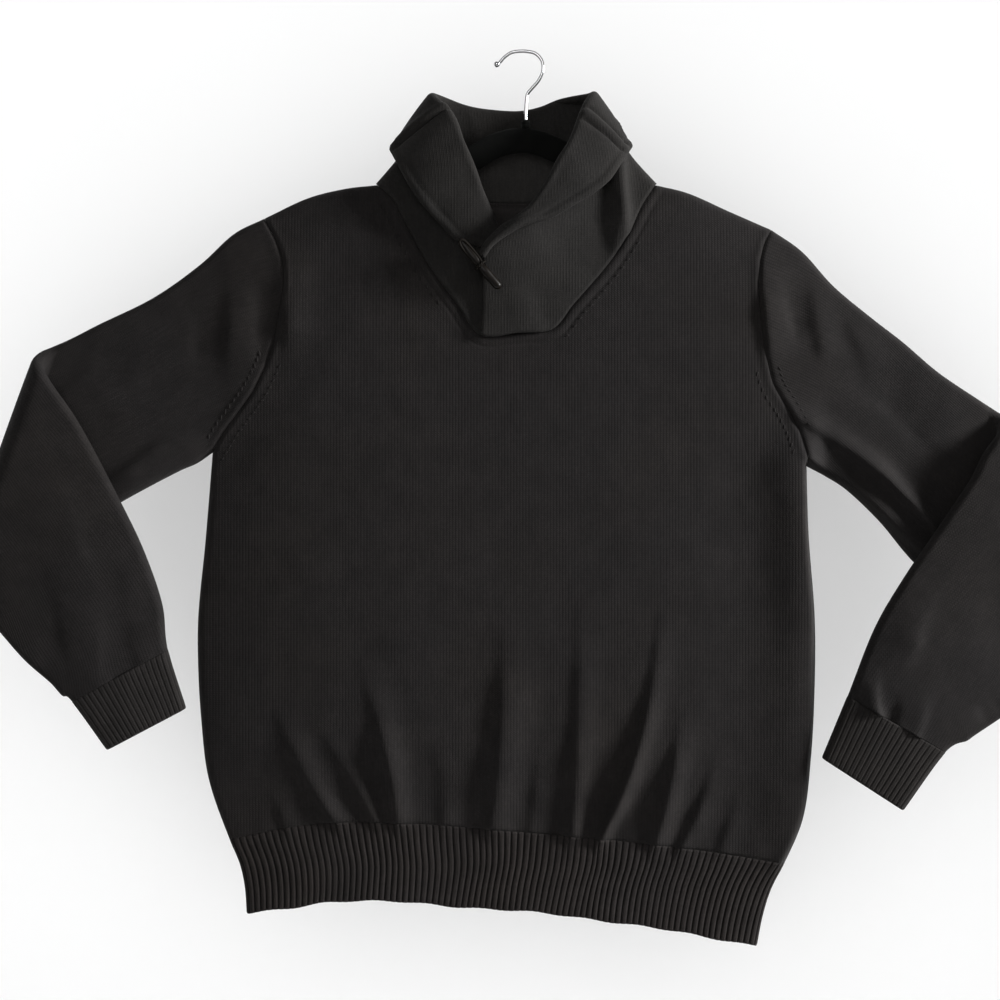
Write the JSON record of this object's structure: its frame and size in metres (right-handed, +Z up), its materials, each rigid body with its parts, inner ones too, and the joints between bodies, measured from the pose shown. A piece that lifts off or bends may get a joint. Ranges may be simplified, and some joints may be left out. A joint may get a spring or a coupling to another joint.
{
  "type": "shawl-collar sweater on a hanger",
  "caption": "Knitted pullover with a lapped shawl collar and a toggle, ribbed cuffs and hem, sleeves folded at the elbows, hung on a slim hanger with a wire hook.",
  "frame": {"origin": "inside top of the hanger's hook, where it hangs on a rail", "axes": "+Z up, the garment's front faces -Y, +X towards its left sleeve; its middle plane is Y = 0"},
  "size_m": [1.03, 0.0826, 0.8595],
  "materials": {
    "knit": "matte",
    "rib": "matte",
    "collar": "matte",
    "velvet": "matte",
    "chrome": "polished",
    "horn": "satin",
    "cord": "matte"
  },
  "bodies": {
    "root": {"front_panel": "knit", "back_yoke": "knit", "back_middle": "knit", "back_panel": "knit", "hem_front": "rib", "hem_back": "rib", "sleeve_left": "knit", "sleeve_right": "knit", "forearm_left": "knit", "forearm_right": "knit", "cuff_left": "rib", "cuff_right": "rib", "shawl_collar": "collar", "hanger_body": "velvet", "hanger_ferrule": "velvet", "hanger_hook": "chrome", "toggle": "horn", "toggle_loop": "cord"}
  },
  "joints": []
}
